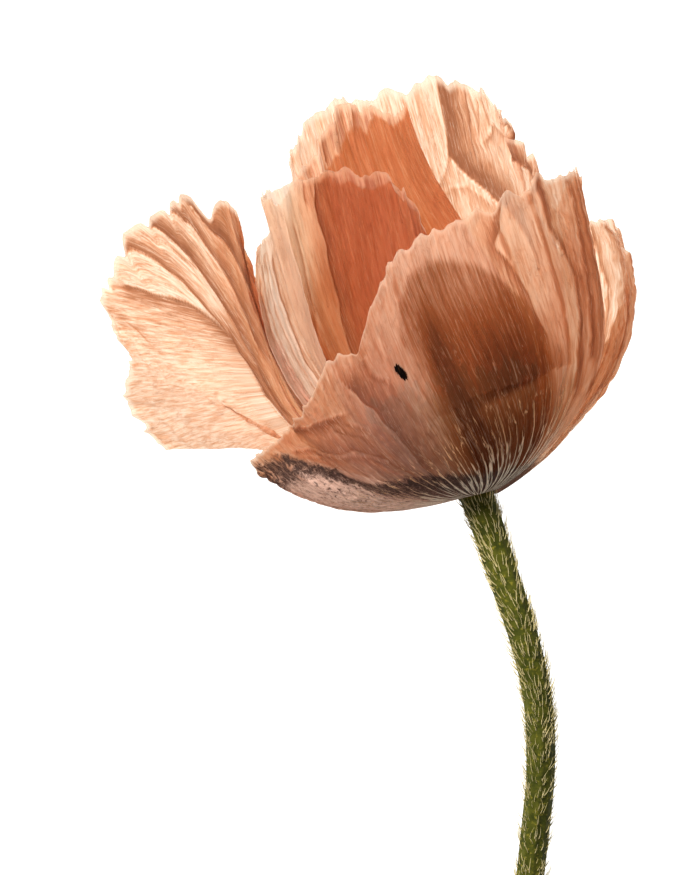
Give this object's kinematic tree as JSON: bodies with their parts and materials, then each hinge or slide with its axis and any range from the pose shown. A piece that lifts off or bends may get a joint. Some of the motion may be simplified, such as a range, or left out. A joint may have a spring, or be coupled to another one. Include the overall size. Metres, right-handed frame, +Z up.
{
  "type": "poppy flower",
  "caption": "Half-open oriental poppy flower with crumpled salmon petals, a green seed capsule ringed by dark stamens, on a short hairy cut stem, lying on its side.",
  "frame": {"origin": "centre of the bounding box in X and Y, on the surface that the flower lies on", "axes": "+Z up from the surface, +Y from the cut end of the stem towards the flower's mouth, +X towards the flower's right as seen from above with its mouth away from the viewer"},
  "size_m": [0.1121, 0.1952, 0.0852],
  "materials": {
    "petal_salmon": "thin translucent salmon petal tissue, crumpled, with fine radial veins",
    "stem_green": "olive green stem with pale stiff hairs",
    "capsule_green": "matte grey-green ovary with a dark velvety rayed disc",
    "stamen_dark": "matte purple-black filaments and anthers"
  },
  "bodies": {
    "root": {"stem": "stem_green", "seed_capsule": "capsule_green", "petal_front": "petal_salmon", "petal_right": "petal_salmon", "petal_back": "petal_salmon", "petal_left": "petal_salmon", "petal_inner_back": "petal_salmon", "petal_inner_left": "petal_salmon", "stamen_01": "stamen_dark", "stamen_02": "stamen_dark", "stamen_03": "stamen_dark", "stamen_04": "stamen_dark", "stamen_05": "stamen_dark", "stamen_06": "stamen_dark", "stamen_07": "stamen_dark", "stamen_08": "stamen_dark", "stamen_09": "stamen_dark", "stamen_10": "stamen_dark", "stamen_11": "stamen_dark", "stamen_12": "stamen_dark", "stamen_13": "stamen_dark", "stamen_14": "stamen_dark", "stamen_15": "stamen_dark", "stamen_16": "stamen_dark", "stamen_17": "stamen_dark", "stamen_18": "stamen_dark", "stamen_19": "stamen_dark", "stamen_20": "stamen_dark", "stamen_21": "stamen_dark", "stamen_22": "stamen_dark", "stamen_23": "stamen_dark", "stamen_24": "stamen_dark"}
  },
  "joints": []
}
